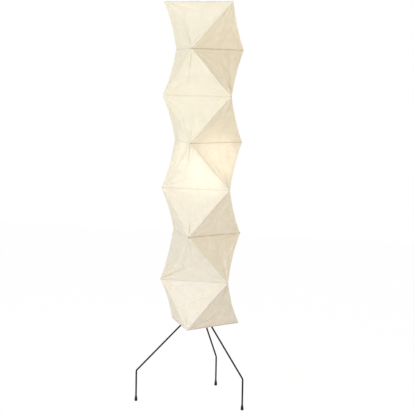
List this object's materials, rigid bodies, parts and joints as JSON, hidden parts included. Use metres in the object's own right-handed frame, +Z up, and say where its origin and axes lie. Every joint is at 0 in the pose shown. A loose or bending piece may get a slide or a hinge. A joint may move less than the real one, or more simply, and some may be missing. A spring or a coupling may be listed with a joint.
{
  "type": "paper lantern floor lamp",
  "caption": "Tall floor lamp: a folded paper shade on triangular wire frames round a steel pole, on a tripod of bent rods with rubber feet.",
  "frame": {"origin": "on the floor, on the axis of the pole and of the three-sided shade", "axes": "+Z up along the pole; +Y towards the back leg and one corner of the top frame; +X to the right seen from the front"},
  "size_m": [0.5498, 0.5143, 1.93],
  "materials": {
    "steel_rod": "satin black lacquer on drawn steel rod",
    "steel_painted": "satin black paint",
    "steel_arm": "plated spring wire",
    "steel_plated": "zinc plate",
    "wire": "dull wire, warmed by old glue",
    "paper": "handmade mulberry paper, matt, with long fibres and creases",
    "rubber": "matt black rubber",
    "holder_plastic": "moulded black",
    "brass": "plain brass",
    "cap_metal": "rolled aluminium",
    "bulb_glass": "frosted, lit from inside",
    "filament": "tungsten wire"
  },
  "bodies": {
    "stand": {"leg_hub": "steel_painted", "cable_gland": "holder_plastic", "hub_screw": "steel_plated", "leg_back": "steel_rod", "foot_back": "rubber", "leg_left": "steel_rod", "foot_left": "rubber", "leg_right": "steel_rod", "foot_right": "rubber", "pole_lower": "steel_painted", "pole_spigot": "steel_plated", "pole_joiner": "steel_painted", "pole_upper": "steel_painted", "hanger_hub": "steel_painted", "hanger_screw": "steel_plated", "hanger_arm_front": "steel_arm", "hanger_arm_left": "steel_arm", "hanger_arm_right": "steel_arm", "holder_bracket": "steel_painted", "holder_screw": "steel_plated", "holder_nipple": "brass", "nipple_nut": "steel_plated", "holder_shell": "holder_plastic", "holder_ring": "holder_plastic", "holder_sleeve": "brass", "holder_contact": "brass", "frame_0": "wire", "top_hem": "paper", "paper_band_1": "paper"},
    "level_1": {"frame_1": "wire", "paper_band_2": "paper"},
    "level_2": {"frame_2": "wire", "paper_band_3": "paper"},
    "level_3": {"frame_3": "wire", "paper_band_4": "paper"},
    "level_4": {"frame_4": "wire", "paper_band_5": "paper"},
    "level_5": {"frame_5": "wire", "paper_band_6": "paper"},
    "level_6": {"frame_6": "wire", "paper_band_7": "paper"},
    "level_7": {"frame_7": "wire", "bottom_hem": "paper"},
    "bulb": {"bulb_glass": "bulb_glass", "bulb_cap": "cap_metal", "bulb_tip": "brass", "bulb_stem": "bulb_glass", "bulb_filament": "filament"}
  },
  "joints": [
    {"name": "gather_1", "type": "slide", "parent": "stand", "child": "level_1", "axis": [0, 0, 1], "range_m": [0, 0.213], "deforming": ["paper_band_1"]},
    {"name": "gather_2", "type": "slide", "parent": "level_1", "child": "level_2", "axis": [0, 0, 1], "range_m": [0, 0.213], "deforming": ["paper_band_2"]},
    {"name": "gather_3", "type": "slide", "parent": "level_2", "child": "level_3", "axis": [0, 0, 1], "range_m": [0, 0.213], "deforming": ["paper_band_3"]},
    {"name": "gather_4", "type": "slide", "parent": "level_3", "child": "level_4", "axis": [0, 0, 1], "range_m": [0, 0.213], "deforming": ["paper_band_4"]},
    {"name": "gather_5", "type": "slide", "parent": "level_4", "child": "level_5", "axis": [0, 0, 1], "range_m": [0, 0.213], "deforming": ["paper_band_5"]},
    {"name": "gather_6", "type": "slide", "parent": "level_5", "child": "level_6", "axis": [0, 0, 1], "range_m": [0, 0.213], "deforming": ["paper_band_6"]},
    {"name": "gather_7", "type": "slide", "parent": "level_6", "child": "level_7", "axis": [0, 0, 1], "range_m": [0, 0.213], "deforming": ["paper_band_7"]},
    {"name": "bulb_out", "type": "slide", "parent": "stand", "child": "bulb", "axis": [0, 0, 1], "range_m": [0, 0.03]}
  ],
  "couplings": [
    {"joint": "gather_2", "follows": "gather_1", "ratio": 1},
    {"joint": "gather_3", "follows": "gather_1", "ratio": 1},
    {"joint": "gather_4", "follows": "gather_1", "ratio": 1},
    {"joint": "gather_5", "follows": "gather_1", "ratio": 1},
    {"joint": "gather_6", "follows": "gather_1", "ratio": 1},
    {"joint": "gather_7", "follows": "gather_1", "ratio": 1}
  ]
}
